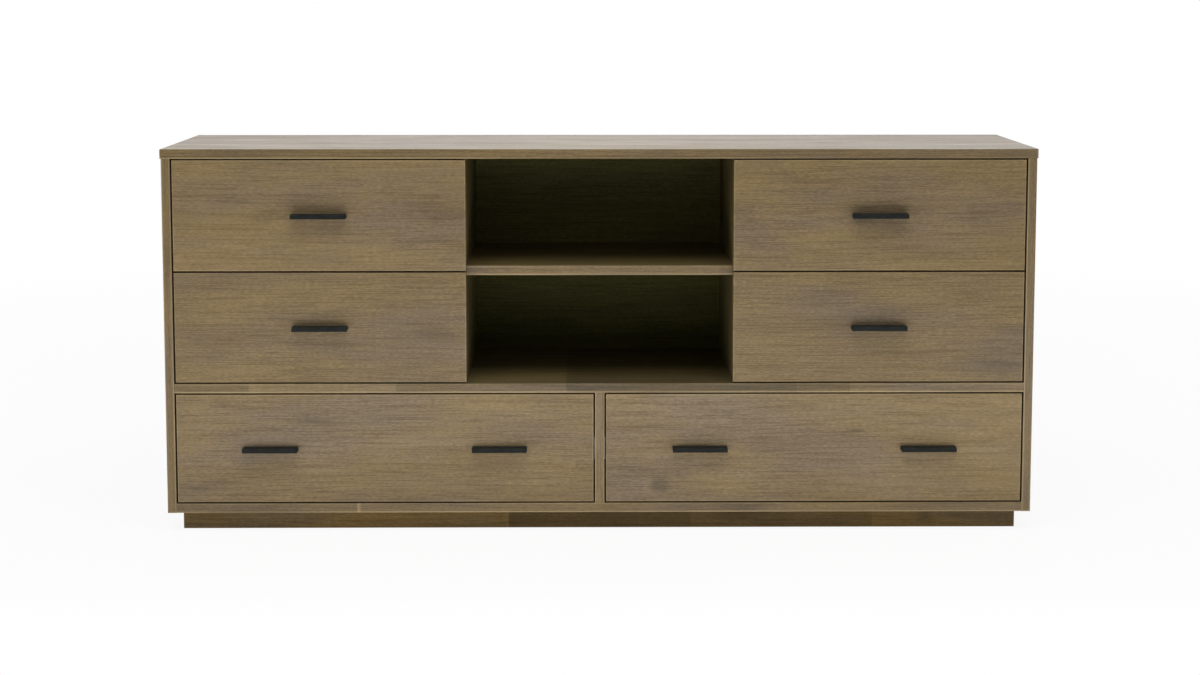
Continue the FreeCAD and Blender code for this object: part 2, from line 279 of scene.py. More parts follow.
class ChestColours(bpy.types.PropertyGroup):
    """Colours of the finishes"""

    ochre: bpy.props.FloatVectorProperty(
        name="Warm stain", description="Stained wood where the stain is warm",
        default=(0.221, 0.156, 0.072), subtype="COLOR")
    taupe: bpy.props.FloatVectorProperty(
        name="Grey stain", description="Stained wood where the stain is grey",
        default=(0.180, 0.133, 0.083), subtype="COLOR")
    pore: bpy.props.FloatVectorProperty(
        name="Pores", description="Stain gathered in the pores",
        default=(0.06, 0.042, 0.022), subtype="COLOR")
    # Pale arrises: partly wear, partly a painted highlight
    arris: bpy.props.FloatVectorProperty(
        name="Rubbed arris", description="Paler wood on the rubbed arrises",
        default=(0.42, 0.32, 0.17), subtype="COLOR")
    plinth_warm: bpy.props.FloatVectorProperty(
        name="Plinth warm stain", description="Darker stain of the plinth where it is warm",
        default=(0.185, 0.115, 0.036), subtype="COLOR")
    plinth_grey: bpy.props.FloatVectorProperty(
        name="Plinth grey stain", description="Darker stain of the plinth where it is grey",
        default=(0.132, 0.093, 0.045), subtype="COLOR")
    back_warm: bpy.props.FloatVectorProperty(
        name="Back warm stain", description="Brown board of the back panel where it is warm",
        default=(0.175, 0.115, 0.064), subtype="COLOR")
    back_grey: bpy.props.FloatVectorProperty(
        name="Back grey stain", description="Brown board of the back panel where it is grey",
        default=(0.135, 0.09, 0.055), subtype="COLOR")
    box_light: bpy.props.FloatVectorProperty(
        name="Box early wood", description="Light wood of the drawer boxes",
        default=(0.56, 0.39, 0.205), subtype="COLOR")
    box_dark: bpy.props.FloatVectorProperty(
        name="Box late wood", description="Darker bands in the wood of the drawer boxes",
        default=(0.40, 0.25, 0.11), subtype="COLOR")
    black: bpy.props.FloatVectorProperty(
        name="Black coat", description="Powder coat of the pulls and levers",
        default=(0.0062, 0.0072, 0.0064), subtype="COLOR")
    zinc: bpy.props.FloatVectorProperty(
        name="Zinc", description="Bright plating of the slides and screws",
        default=(0.56, 0.57, 0.58), subtype="COLOR")
    floor: bpy.props.FloatVectorProperty(
        name="Floor", description="Pale floor",
        default=(0.75, 0.75, 0.75), subtype="COLOR")


class Value:
    """One output of a finish; sums written with it add Math nodes."""

    def __init__(self, finish, socket):
        self.finish = finish
        self.socket = socket

    def out(self, name):
        """Another output of the same node."""
        return Value(self.finish, self.socket.node.outputs[name])

    def __add__(self, other):
        return self.finish.math("ADD", self, other)

    def __radd__(self, other):
        return self.finish.math("ADD", other, self)

    def __sub__(self, other):
        return self.finish.math("SUBTRACT", self, other)

    def __rsub__(self, other):
        return self.finish.math("SUBTRACT", other, self)

    def __mul__(self, other):
        return self.finish.math("MULTIPLY", self, other)

    def __rmul__(self, other):
        return self.finish.math("MULTIPLY", other, self)

    def __truediv__(self, other):
        return self.finish.math("DIVIDE", self, other)


class Finish:
    """A material or world that is put together node by node."""

    def __init__(self, block):
        block.use_nodes = True
        self.block = block
        self.tree = block.node_tree
        self.tree.nodes.clear()

    def node(self, kind, settings=None, sockets=None, output=0):
        """Adds a node, sets its settings, then fills or links its sockets."""
        made = self.tree.nodes.new(kind)
        for name, value in (settings or {}).items():
            if name == "stops":
                made.color_ramp.interpolation = "CONSTANT"
                self.stops(made.color_ramp, value)
            else:
                setattr(made, name, value)
        for name, value in (sockets or {}).items():
            if isinstance(value, Value):
                self.tree.links.new(value.socket, made.inputs[name])
            else:
                made.inputs[name].default_value = value
        return Value(self, made.outputs[output]) if made.outputs else None

    @staticmethod
    def stops(ramp, stops):
        """Sets the places and colours of a ramp."""
        while len(ramp.elements) < len(stops):
            ramp.elements.new(1.0)
        for element, (place, colour) in zip(ramp.elements, stops):
            element.position = place
            element.color = colour

    def math(self, operation, first, second=0.0):
        """Result of one operation on two values."""
        return self.node("ShaderNodeMath", {"operation": operation}, {0: first, 1: second})

    def smooth(self, value, low, high, to_low=0.0, to_high=1.0):
        """Soft step from one level to another."""
        return self.node(
            "ShaderNodeMapRange", {"interpolation_type": "SMOOTHSTEP"},
            {"Value": value, "From Min": low, "From Max": high,
             "To Min": to_low, "To Max": to_high})

    def mix(self, factor, first, second, blend="MIX"):
        """Mixed colour."""
        settings = {"data_type": "RGBA", "blend_type": blend}
        return self.node("ShaderNodeMix", settings, {0: factor, 6: first, 7: second}, 2)

    def layer(self, ground, value, start, full, share, tint):
        """Mask that runs from start to full, and the ground multiplied by a tint in it."""
        mask = self.smooth(value, start, full)
        return mask, self.mix(mask * share, ground, opaque(tint), "MULTIPLY")

    def place(self):
        """Object coordinates, the same as the row frame in metres."""
        return self.node("ShaderNodeTexCoord", output="Object")

    def parts(self, vector):
        """The three parts of a vector."""
        split = self.node("ShaderNodeSeparateXYZ", sockets={0: vector})
        return split, split.out("Y"), split.out("Z")

    def join(self, x, y, z):
        """Vector from its three parts."""
        return self.node("ShaderNodeCombineXYZ", None, {0: x, 1: y, 2: z})

    def noise(self, vector, scale=1.0, detail=2.0, roughness=0.5):
        """Soft noise from 0 to 1."""
        sockets = {"Vector": vector, "Scale": scale, "Detail": detail, "Roughness": roughness}
        return self.node("ShaderNodeTexNoise", None, sockets)

    def bump(self, height, strength, distance):
        """Normal that follows a height."""
        sockets = {"Strength": strength, "Distance": distance, "Height": height}
        return self.node("ShaderNodeBump", None, sockets)

    def looked_at(self):
        """1 for rays from the camera, also by way of gloss or glass, 0 for diffuse light."""
        path = self.node("ShaderNodeLightPath", output="Is Camera Ray")
        rays = path + path.out("Is Glossy Ray") + path.out("Is Transmission Ray")
        return self.math("MINIMUM", rays, 1.0)

    def surface(self, sockets):
        """Principled surface, linked to the output."""
        shader = self.node("ShaderNodeBsdfPrincipled", None, sockets)
        self.node("ShaderNodeOutputMaterial", None, {"Surface": shader})
        return self.block


def new_finish(name):
    """Finish of a new material."""
    return Finish(bpy.data.materials.new(name))


def opaque(colour, share=1.0):
    """Colour times a share, with full alpha."""
    return (colour[0] * share, colour[1] * share, colour[2] * share, 1.0)


def colours():
    """Colours set in the scene."""
    return bpy.context.scene.chest_colours


def sizes():
    """Sizes set in the scene."""
    return bpy.context.scene.chest_sizes


def grain_axes(finish, grain, shift):
    """Coordinates along the grain and twice across it, moved by a shift of the board's own."""
    x, y, z = finish.parts(finish.place())
    axes = {"X": (x, z, y), "Y": (y, z, x), "Z": (z, x, y)}[grain]
    return [axis + shift * share for axis, share in zip(axes, SHIFT_SHARES)]


def stretched(finish, axes, along, across):
    """Vector that stretches a pattern along the grain."""
    first, second, third = axes
    return finish.join(first * along, second * across, third * across)


def arris_mask(finish, node, reach):
    """1 on the arrises of a board, 0 further from them than the reach."""
    low, high = span(node)
    gaps = []
    for value, floor, ceiling in zip(finish.parts(finish.place()), low, high):
        gaps.append(finish.math("MINIMUM", value - floor, ceiling - value))
    nearer = finish.math("MINIMUM", gaps[0], gaps[1])
    further = finish.math("MAXIMUM", gaps[0], gaps[1])
    second = finish.math("MAXIMUM", nearer, finish.math("MINIMUM", further, gaps[2]))
    return finish.smooth(second, 0.0, reach, 1.0, 0.0)


def wood_grain(finish, grain, shift):
    """Masks of a board: blotches of stain, clouds, bands, long fibres, short flecks and pores."""
    axes = grain_axes(finish, grain, shift)
    along, across, through = axes
    wander = finish.noise(stretched(finish, axes, *GRAIN_WANDER))
    sway = GRAIN_SWAY * (wander - 0.5)
    bent = (along, across + sway, through + sway)
    masks = {}
    for lines, table in ((axes, STRAIGHT_GRAIN), (bent, BENT_GRAIN)):
        for name, (length, width, detail, roughness) in table.items():
            vector = stretched(finish, lines, length, width)
            masks[name] = finish.noise(vector, detail=detail, roughness=roughness)
    return masks


def board_shift(node):
    """Offset that gives each board its own stretch of grain."""
    total = sum(ord(letter) * (place + 3) for place, letter in enumerate(node))
    return total * SHIFT_STEP % SHIFT_RANGE


def stave_tones(finish, node, staves):
    """Grey level of each stave along a board that is glued up from short lengths."""
    low, high = span(node)
    length = high.x - low.x
    ramp = [((start - low.x) / length, (tone, tone, tone, 1.0)) for start, tone in staves]
    share = (finish.parts(finish.place())[0] - low.x) / length
    return finish.node("ShaderNodeValToRGB", {"stops": ramp}, {"Fac": share})


def painted_shade_mask(finish, inside):
    """1 where painted shade goes on the faces inside the case, from one place to the next along
    an axis.
    """
    axis, start, stop = inside
    return finish.smooth(finish.parts(finish.place())["XYZ".index(axis)], start, stop)


def mark_mask(finish, marks, ragged):
    """1 in the darker marks of a board, 0 outside their ragged edges."""
    x, _, z = finish.parts(finish.place())
    whole = 0.0
    for middle_x, middle_z, half_length, half_height in marks:
        across = (x - middle_x) / half_length
        upward = (z - middle_z) / half_height
        distance = finish.math("SQRT", across * across + upward * upward) + ragged
        whole = finish.math("MAXIMUM", finish.smooth(distance, 1.1, 0.2), whole)
    return whole


def worn_and_lit_arrises(finish, node, bands):
    """Patchy pale arrises of a board, partly wear and partly a painted highlight, weaker above
    the lower arrises of a lying one.
    """
    reach = WIDE_ARRISES.get(node, ARRIS_REACH)
    pale_arris = arris_mask(finish, node, reach) * finish.smooth(bands, 0.8, 0.3)
    low, high = span(node)
    if high.z - low.z < LYING_BOARD:
        z = finish.parts(finish.place())[2]
        pale_arris = pale_arris * finish.smooth(
            z, low.z + ABOVE_ARRIS, low.z + LOWER_ARRIS, UPPER_ARRIS_SHARE, 1.0)
    return pale_arris


def painted_inside_shade(finish, node, shade):
    """Colour of the painted shade on a board inside the case; the back panel's is painted lighter
    above the shelf, as painted light.
    """
    if node != "back_panel":
        return opaque(shade)
    low, high = span("shelf")
    above = finish.smooth(finish.parts(finish.place())[2], low.z, high.z)
    return finish.mix(above, opaque(shade), opaque(PAINTED_UPPER_BACK_LIGHT))


def stained_wood(node, grain, warm, grey, staves=None, arris_share=0.75, gloss=BOARD_GLOSS,
                 inside=None, shade=PAINTED_EDGE_SHADE):
    """Grey-brown stained board: open pores, soft blotches of stain, pale arrises that are partly
    wear and partly a painted highlight, and painted shade on its inside faces.
    """
    ink = colours()
    finish = new_finish("stained_wood_" + node)
    masks = wood_grain(finish, grain, board_shift(node))
    blotch = finish.smooth(masks["blotch"], 0.38, 0.72)
    stain = finish.mix(blotch, opaque(warm), opaque(grey))
    layers = {}
    for name, mask, *values in STAIN_LAYERS:
        layers[name], stain = finish.layer(stain, masks[mask], *values)
    pores = finish.smooth(masks["pores"], 0.6, 0.74)
    stain = finish.mix(pores * 0.5, stain, opaque(ink.pore))
    if staves:
        stain = finish.mix(1.0, stain, stave_tones(finish, node, staves), "MULTIPLY")
    if node in MARKS:
        marks = mark_mask(finish, MARKS[node], MARK_RAGGED * (masks["bands"] - 0.5))
        stain = finish.mix(marks * MARK_SHARE, stain, opaque(MARK_TINT), "MULTIPLY")
    # Pale arrises: partly wear, partly a painted highlight, strongest on the lower arrises
    pale_arris = worn_and_lit_arrises(finish, node, masks["bands"])
    stain = finish.mix(pale_arris * arris_share, stain, opaque(ink.arris))
    # Painted shade on the faces inside the case
    if inside:
        tint = painted_inside_shade(finish, node, shade)
        stain = finish.mix(painted_shade_mask(finish, inside), stain, tint, "MULTIPLY")
    bands, fibre, cloud = layers["bands"], layers["fibre"], layers["cloud"]
    height = 0.5 * fibre + 0.3 * layers["fleck"] + 0.9 * pores
    return finish.surface({
        "Base Color": stain,
        "Roughness": 0.36 + 0.1 * bands + 0.1 * fibre + 0.06 * cloud + 0.12 * pores,
        "Specular IOR Level": gloss,
        "Coat Weight": 0.1 * gloss + 0.15 * gloss * cloud,
        "Coat Roughness": 0.3,
        "Normal": finish.bump(1.0 - height, strength=0.14, distance=0.0004),
    })


def ring_band(finish, turn, start, full, fall):
    """Band that darkens slowly through each turn of the rings and ends quickly."""
    return finish.smooth(turn, start, full) * finish.smooth(turn, 1.0, fall)


def growth_rings(finish, axes, pith, pitch):
    """Growth rings round a pith that lies beside the board."""
    wander = finish.noise(stretched(finish, axes, *RING_WANDER))
    sway = RING_SWAY * (wander - 0.5)
    out = axes[1] - pith[0] + sway
    up = axes[2] - pith[1] + sway
    radius = finish.math("SQRT", out * out + up * up)
    turn = finish.math("FRACT", radius / pitch + RING_DRIFT * wander)
    return ring_band(finish, turn, 0.15, 0.85, 0.86)


def box_wood(node, grain):
    """Pale solid wood of the drawer boxes under a clear lacquer, darker on its end grain."""
    ink = colours()
    finish = new_finish("box_wood_" + node)
    shift = board_shift(node)
    axes = grain_axes(finish, grain, shift)
    pith = (shift * SHIFT_SHARES[1] + PITH_ACROSS, shift * SHIFT_SHARES[2] + PITH_THROUGH)
    rings = growth_rings(finish, axes, pith, RING_PITCH)
    fibre = finish.noise(stretched(finish, axes, 20.0, 800.0), detail=3.0, roughness=0.6)
    broad = finish.noise(stretched(finish, axes, 2.0, 9.0))
    wood = finish.mix(rings * 0.6, opaque(ink.box_light), opaque(ink.box_dark))
    _, wood = finish.layer(wood, fibre, 0.42, 0.75, 0.35, (0.7, 0.62, 0.5))
    _, wood = finish.layer(wood, broad, 0.3, 0.7, 0.3, (0.82, 0.77, 0.7))
    normal = finish.parts(finish.node("ShaderNodeNewGeometry", output="Normal"))
    facing = finish.math("ABSOLUTE", normal["XYZ".index(grain)])
    end_grain, wood = finish.layer(wood, facing, 0.6, 0.9, 0.65, (0.62, 0.54, 0.43))
    return finish.surface({
        "Base Color": wood,
        "Roughness": 0.4 + 0.12 * fibre + 0.2 * end_grain,
        "Specular IOR Level": 0.4,
        "Normal": finish.bump(1.0 - 0.5 * fibre - 0.5 * rings, strength=0.15, distance=0.0003),
    })


def box_ply(node):
    """Rotary-cut face of the thin plywood bottoms, with wide flame figure."""
    ink = colours()
    finish = new_finish("box_ply_" + node)
    axes = grain_axes(finish, "X", board_shift(node))
    flame = finish.noise(stretched(finish, axes, 1.4, 8.0), roughness=0.45)
    rings = ring_band(finish, finish.math("FRACT", flame * 14.0), 0.1, 0.8, 0.84)
    fibre = finish.noise(stretched(finish, axes, 24.0, 520.0), detail=3.0, roughness=0.6)
    wood = finish.mix(rings * 0.45, opaque(ink.box_light, 1.1), opaque(ink.box_dark, 1.15))
    _, wood = finish.layer(wood, fibre, 0.42, 0.75, 0.3, (0.72, 0.65, 0.55))
    return finish.surface({
        "Base Color": wood,
        "Roughness": 0.42 + 0.14 * fibre,
        "Specular IOR Level": 0.4,
        "Normal": finish.bump(1.0 - fibre, strength=0.12, distance=0.0003),
    })


def black_coat(name, node=None):
    """Satin powder coat with a fine orange peel, rubbed on the arrises of a given node."""
    ink = colours()
    finish = new_finish("black_coat_" + name)
    place = finish.place()
    peel = finish.noise(place, scale=900.0)
    cloud = finish.noise(place, scale=60.0, detail=3.0)
    patches = finish.smooth(cloud, 0.3, 0.7)
    coat = finish.mix(patches, opaque(ink.black), opaque(ink.black, 1.5))
    if node:
        pale_arris = arris_mask(finish, node, reach=0.0016) * finish.smooth(cloud, 0.4, 0.65)
        coat = finish.mix(pale_arris * 0.4, coat, opaque((0.05, 0.049, 0.047)))
    return finish.surface({
        "Base Color": coat,
        "Roughness": 0.48 + 0.16 * peel + 0.06 * cloud,
        "Specular IOR Level": 0.1,
        "Normal": finish.bump(peel, strength=0.2, distance=0.0003),
    })


def zinc_steel(name):
    """Bright zinc on rolled steel: lines along the run, soft clouds and dull spots."""
    ink = colours()
    finish = new_finish("zinc_steel_" + name)
    place = finish.place()
    x, y, z = finish.parts(place)
    run = finish.join(x * 900.0, y * 9.0, z * 900.0)
    lines = finish.noise(run, detail=3.0, roughness=0.6)
    cloud = finish.noise(place, scale=38.0, detail=3.0, roughness=0.6)
    spots = finish.smooth(finish.noise(place, scale=260.0), 0.62, 0.72)
    patches = finish.smooth(cloud, 0.3, 0.7)
    zinc = finish.mix(patches, opaque(ink.zinc), opaque(ink.zinc, 0.82))
    zinc = finish.mix(spots * 0.5, zinc, opaque((0.40, 0.41, 0.43)))
    return finish.surface({
        "Base Color": zinc,
        "Metallic": 0.96 - 0.2 * spots,
        "Roughness": 0.34 + 0.16 * lines + 0.1 * cloud + 0.12 * spots,
        "Normal": finish.bump(lines, strength=0.12, distance=0.0002),
    })


def dress(piece, material):
    """Gives a piece one material."""
    piece.data.materials.clear()
    piece.data.materials.append(material)


class CHEST_OT_boards(bpy.types.Operator):
    """Stains the boards of the case and the drawer fronts, with painted highlights on their
    arrises and painted shade on their inside faces
    """

    bl_idname = "chest.boards"
    bl_label = "Stain the boards"

    def execute(self, context):
        ink = colours()
        for name, board in frame["nodes"].items():
            if name.startswith("plinth"):
                grain = "Y" if name in PLINTH_CROSSWISE else "X"
                staves = PLINTH_STAVES if grain == "X" else None
                wood = stained_wood(
                    name, grain, ink.plinth_warm, ink.plinth_grey, staves, arris_share=0.25, gloss=0.1)
            elif name == "back_panel":
                wood = stained_wood(
                    name, "X", ink.back_warm, ink.back_grey, arris_share=0.2, gloss=0.05,
                    inside=self.inside(name), shade=PAINTED_BACK_SHADE)
            elif name.startswith(("side_panel", "partition")):
                tone = SIDE_TONE if name.startswith("side") else 1.0
                shade = PAINTED_WALL_SHADE if name.startswith("partition_upper") else PAINTED_GAP_SHADE
                wood = stained_wood(
                    name, "Z", opaque(ink.ochre, tone), opaque(ink.taupe, tone),
                    inside=self.inside(name), shade=shade)
            elif name in LYING_STAVES:
                gloss = TOP_GLOSS if name == "top_panel" else BOARD_GLOSS
                wood = stained_wood(
                    name, "X", ink.ochre, ink.taupe, LYING_STAVES[name], arris_share=0.85, gloss=gloss,
                    inside=self.inside(name), shade=PAINTED_LYING_SHADES[name])
            elif name in FRONT_TONES:
                tone = FRONT_TONES[name]
                wood = stained_wood(
                    name, "X", opaque(ink.ochre, tone), opaque(ink.taupe, tone), arris_share=0.3,
                    inside=self.inside(name))
            else:
                continue
            dress(board, wood)
        return {"FINISHED"}

    @staticmethod
    def inside(node):
        """Where a board's painted shade on its inside begins: axis, last outside place, first
        inside place.
        """
        low, high = span(node)
        if node == "top_panel":
            return "Z", low.z + SKIN_OUT, low.z + SKIN_IN
        if node == "back_panel":
            return "Y", low.y + SKIN_OUT, low.y + SKIN_IN
        if node == "side_panel_left":
            return "X", high.x - SKIN_OUT, high.x - SKIN_IN
        if node == "side_panel_right":
            return "X", low.x + SKIN_OUT, low.x + SKIN_IN
        return "Y", low.y + EDGE_OUT, low.y + EDGE_IN


class CHEST_OT_boxes(bpy.types.Operator):
    """Finishes the drawer boxes and their bottoms"""

    bl_idname = "chest.boxes"
    bl_label = "Finish the drawer boxes"

    def execute(self, context):
        nodes = frame["nodes"]
        for drawer in DRAWERS:
            for name, grain in ((drawer + "_box_sides", "Y"), (drawer + "_box_ends", "X")):
                dress(nodes[name], box_wood(name, grain))
            dress(nodes[drawer + "_bottom"], box_ply(drawer + "_bottom"))
        return {"FINISHED"}


class CHEST_OT_slides(bpy.types.Operator):
    """Plates the slides"""

    bl_idname = "chest.slides"
    bl_label = "Plate the slides"

    def execute(self, context):
        for name, member in frame["nodes"].items():
            if "slide" in name:
                dress(member, zinc_steel(name))
        return {"FINISHED"}


def let_go():
    """Leaves nothing selected."""
    bpy.ops.object.select_all(action="DESELECT")


def settle(piece):
    """Puts the piece's place, turn and scale into its mesh."""
    let_go()
    piece.select_set(True)
    bpy.context.view_layer.objects.active = piece
    bpy.ops.object.transform_apply(location=True, rotation=True, scale=True)


def pick(piece, wanted):
    """Selects the faces of the piece in edit mode that the test wants."""
    bpy.ops.mesh.select_mode(type="FACE")
    bpy.ops.mesh.select_all(action="DESELECT")
    shape = bmesh.from_edit_mesh(piece.data)
    for face in shape.faces:
        face.select_set(wanted(face.calc_center_median(), face.normal))
    bmesh.update_edit_mesh(piece.data)


def copied(piece, move, name):
    """Copy of the piece with a mesh of its own, moved."""
    let_go()
    piece.select_set(True)
    bpy.context.view_layer.objects.active = piece
    bpy.ops.object.duplicate(linked=False)
    copy = bpy.context.object
    copy.name = name
    copy.location = move
    settle(copy)
    return copy


def joined(pieces, name):
    """One piece from several."""
    let_go()
    for piece in pieces:
        piece.select_set(True)
    bpy.context.view_layer.objects.active = pieces[0]
    bpy.ops.object.join()
    whole = bpy.context.object
    whole.name = name
    settle(whole)
    return whole


def apply_bevel(piece, width, segments):
    """Rounds the sharp arrises of the piece."""
    bpy.context.view_layer.objects.active = piece
    bpy.ops.object.modifier_add(type="BEVEL")
    bevel = piece.modifiers[-1]
    bevel.width = width
    bevel.segments = segments
    bevel.limit_method = "ANGLE"
    bevel.angle_limit = BEVEL_ANGLE
    bpy.ops.object.modifier_apply(modifier=bevel.name)


class CHEST_OT_pulls(bpy.types.Operator):
    """Models the flat pulls, one for each drawer or two on a wide one"""

    bl_idname = "chest.pulls"
    bl_label = "Model the pulls"

    def execute(self, context):
        first_low, first_high = span(PULLS[0])
        model = self.model(first_low, first_high)
        for node in PULLS:
            pull = copied(model, span(node)[0] - first_low, "shaped_" + node)
            dress(pull, black_coat(node, node))
            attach(pull, node.split("_pull")[0])
            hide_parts(node)
        bpy.data.objects.remove(model)
        return {"FINISHED"}

    @staticmethod
    def model(low, high):
        """Flat bar with rounded arrises and a finger pocket sunk into its underside."""
        depth = high.z - low.z - sizes().pull_plate
        let_go()
        bpy.ops.mesh.primitive_cube_add(size=1.0, location=(low + high) / 2)
        pull = bpy.context.object
        pull.scale = high - low
        settle(pull)
        bpy.ops.object.mode_set(mode="EDIT")
        pick(pull, lambda centre, normal: normal.z < -SQUARE_END)
        bpy.ops.mesh.inset(thickness=sizes().pull_wall)
        bpy.ops.mesh.extrude_region_move(TRANSFORM_OT_translate={"value": (0, 0, depth)})
        bpy.ops.object.mode_set(mode="OBJECT")
        apply_bevel(pull, sizes().pull_arris, segments=3)
        bpy.ops.object.shade_smooth_by_angle(angle=SMOOTH_ANGLE)
        return pull


class CHEST_OT_screws(bpy.types.Operator):
    """Sets the screws of the pulls, fronts, slides and the back panel"""

    bl_idname = "chest.screws"
    bl_label = "Set the screws"

    def execute(self, context):
        head = self.model()
        for drawer in DRAWERS:
            self.front_screws(head, drawer)
            self.slide_screws(head, drawer)
        self.back_screws(head)
        bpy.data.objects.remove(head)
        return {"FINISHED"}

    @staticmethod
    def model():
        """Pan head that faces the back, domed, with a cross recess."""
        radius = sizes().screw_head / 2
        rise = sizes().screw_rise
        slot_long = radius * CROSS_LENGTH
        slot_wide = radius * CROSS_WIDTH
        let_go()
        bpy.ops.mesh.primitive_cylinder_add(
            vertices=20, radius=radius, depth=rise, location=(0, rise / 2, 0),
            rotation=(math.radians(90), 0, 0))
        head = bpy.context.object
        settle(head)
        bpy.ops.object.mode_set(mode="EDIT")
        pick(head, lambda centre, normal: normal.y > SQUARE_END)
        bpy.ops.mesh.inset(thickness=radius * HEAD_RIM, depth=0.0)
        pick(head, lambda centre, normal: (
            normal.y > SQUARE_END and centre.xz.length < radius * HEAD_MIDDLE))
        bpy.ops.mesh.inset(thickness=radius * HEAD_DOME, depth=rise * DOME_RISE)
        bpy.ops.object.mode_set(mode="OBJECT")
        apply_bevel(head, rise * HEAD_ARRIS, segments=2)
        cutters = []
        for wide, high in ((slot_long, slot_wide), (slot_wide, slot_long)):
            let_go()
            bpy.ops.mesh.primitive_cube_add(size=1.0, location=(0, rise, 0))
            cutter = bpy.context.object
            cutter.scale = (wide, rise * CUTTER_RISE, high)
            settle(cutter)
            cutters.append(cutter)
        cross = joined(cutters, "cross")
        let_go()
        head.select_set(True)
        bpy.context.view_layer.objects.active = head
        bpy.ops.object.modifier_add(type="BOOLEAN")
        recess = head.modifiers[-1]
        recess.object = cross
        recess.operation = "DIFFERENCE"
        recess.solver = "EXACT"
        recess.use_self = True
        bpy.ops.object.modifier_apply(modifier=recess.name)
        bpy.data.objects.remove(cross)
        bpy.ops.object.shade_smooth_by_angle(angle=SMOOTH_ANGLE)
        return head

    @staticmethod
    def finish(heads, name, body):
        """Joins heads into one piece that moves with a body."""
        group = joined(heads, name)
        dress(group, zinc_steel(name))
        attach(group, body)

    def front_screws(self, head, drawer):
        """Screws inside the box: two for each pull, and one near each corner of the front."""
        low, high = span(drawer + "_box_ends")
        face = low.y + sizes().box_board
        places = []
        for node in PULLS:
            if node.startswith(drawer):
                pull_low, pull_high = span(node)
                middle = (pull_low + pull_high) / 2
                for side in (-1, 1):
                    places.append((middle.x + side * sizes().pull_holes / 2, middle.z))
        for x in (low.x + CORNER_MARGIN, high.x - CORNER_MARGIN):
            for z in (low.z + CORNER_MARGIN, high.z - UPPER_MARGIN):
                places.append((x, z))
        heads = [copied(head, Vector((x, face, z)), "head") for x, z in places]
        self.finish(heads, drawer + "_front_screws", drawer)

    def slide_screws(self, head, drawer):
        """Screws that hold the drawer members of the slides to the box."""
        low, high = span(drawer + "_slide_inner")
        middle_z = (low.z + high.z) / 2
        web = sizes().slide_web
        heads = []
        for side, face in ((-1, low.x + web), (1, high.x - web)):
            turned = copied(head, Vector((0, 0, 0)), "turned_head")
            turned.rotation_euler.z = math.radians(-90 * side)
            settle(turned)
            for share in SLIDE_SHARES:
                move = Vector((face, low.y + (high.y - low.y) * share, middle_z))
                heads.append(copied(turned, move, "head"))
            bpy.data.objects.remove(turned)
        self.finish(heads, drawer + "_slide_screws", drawer)

    def back_screws(self, head):
        """Screws round the edge of the back panel and along the boards that it covers."""
        low, high = span("back_panel")
        deck_low, deck_high = span("deck_panel")
        pitch = sizes().back_pitch
        across = round((high.x - low.x) / pitch)
        upward = round((high.z - low.z) / pitch)
        places = []
        for step in range(across + 1):
            x = low.x + BACK_MARGIN + (high.x - low.x - 2 * BACK_MARGIN) * step / across
            places += [(x, low.z + BACK_MARGIN), (x, high.z - BACK_MARGIN)]
            if 0 < step < across:
                places.append((x, (deck_low.z + deck_high.z) / 2))
        for step in range(1, upward):
            z = low.z + BACK_MARGIN + (high.z - low.z - 2 * BACK_MARGIN) * step / upward
            places += [(low.x + BACK_MARGIN, z), (high.x - BACK_MARGIN, z)]
        heads = [copied(head, Vector((x, high.y, z)), "head") for x, z in places]
        self.finish(heads, "back_panel_screws", "case")


class CHEST_OT_levers(bpy.types.Operator):
    """Sets the release levers in the drawer members of the slides"""

    bl_idname = "chest.levers"
    bl_label = "Set the release levers"

    def execute(self, context):
        web = sizes().slide_web
        models = {side: self.model(side) for side in (-1, 1)}
        for drawer in DRAWERS:
            low, high = span(drawer + "_slide_inner")
            front = low.y + LEVER_PLACE * (high.y - low.y)
            middle_z = (low.z + high.z) / 2
            levers = []
            for side, face in ((-1, low.x + web), (1, high.x - web)):
                levers.append(copied(models[side], Vector((face, front, middle_z)), "lever"))
            group = joined(levers, drawer + "_slide_levers")
            dress(group, black_coat(drawer + "_slide_levers"))
            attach(group, drawer)
        for model in models.values():
            bpy.data.objects.remove(model)
        return {"FINISHED"}

    @staticmethod
    def model(side):
        """Flat spring lever on the web, its front end bent away from the web as a finger tab."""
        steel = sizes().lever_steel
        tall = sizes().lever_height
        length = sizes().lever_length
        let_go()
        bpy.ops.mesh.primitive_cube_add(size=1.0, location=(side * steel / 2, 0.0, 0.0))
        lever = bpy.context.object
        lever.scale = (steel, length * LEVER_STRAIGHT, tall)
        settle(lever)
        bpy.ops.object.mode_set(mode="EDIT")
        for run, bend, share in LEVER_TAB:
            pick(lever, lambda centre, normal: normal.y < -TILTED_END)
            bpy.ops.mesh.extrude_region_move(
                TRANSFORM_OT_translate={"value": (side * steel * bend, -length * run, 0)})
            bpy.ops.transform.resize(value=(1, 1, share))
        for run, share in LEVER_TAIL:
            pick(lever, lambda centre, normal: normal.y > TILTED_END)
            bpy.ops.mesh.extrude_region_move(
                TRANSFORM_OT_translate={"value": (0, length * run, 0)})
            bpy.ops.transform.resize(value=(1, 1, share))
        bpy.ops.object.mode_set(mode="OBJECT")
        apply_bevel(lever, steel * LEVER_ARRIS, segments=2)
        bpy.ops.object.shade_smooth_by_angle(angle=SMOOTH_ANGLE)
        return lever


